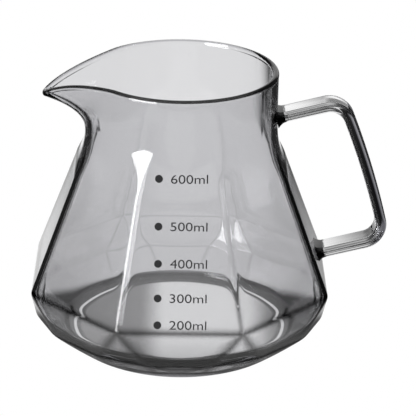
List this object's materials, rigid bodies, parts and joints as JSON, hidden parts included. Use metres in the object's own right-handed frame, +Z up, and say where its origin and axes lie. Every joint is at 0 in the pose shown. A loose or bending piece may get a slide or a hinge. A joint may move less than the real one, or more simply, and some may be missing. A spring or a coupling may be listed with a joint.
{
  "type": "carafe",
  "caption": "Smoky glass carafe with an eight-sided faceted body, a round neck with a drawn spout, a fused glass handle and a printed volume scale.",
  "frame": {"origin": "centre of the base's flat underside, on the neck's axis", "axes": "+Z up along the neck's axis, +X towards the handle, -X towards the spout"},
  "size_m": [0.1423, 0.1186, 0.1134],
  "materials": {
    "smoked_glass": "fire polished",
    "handle_glass": "fire polished",
    "weld_glass": "fire polished",
    "enamel": "matt, fired on"
  },
  "bodies": {
    "root": {"glass_body": "smoked_glass", "handle": "handle_glass", "upper_weld": "weld_glass", "lower_weld": "weld_glass", "volume_dots": "enamel"}
  },
  "joints": []
}
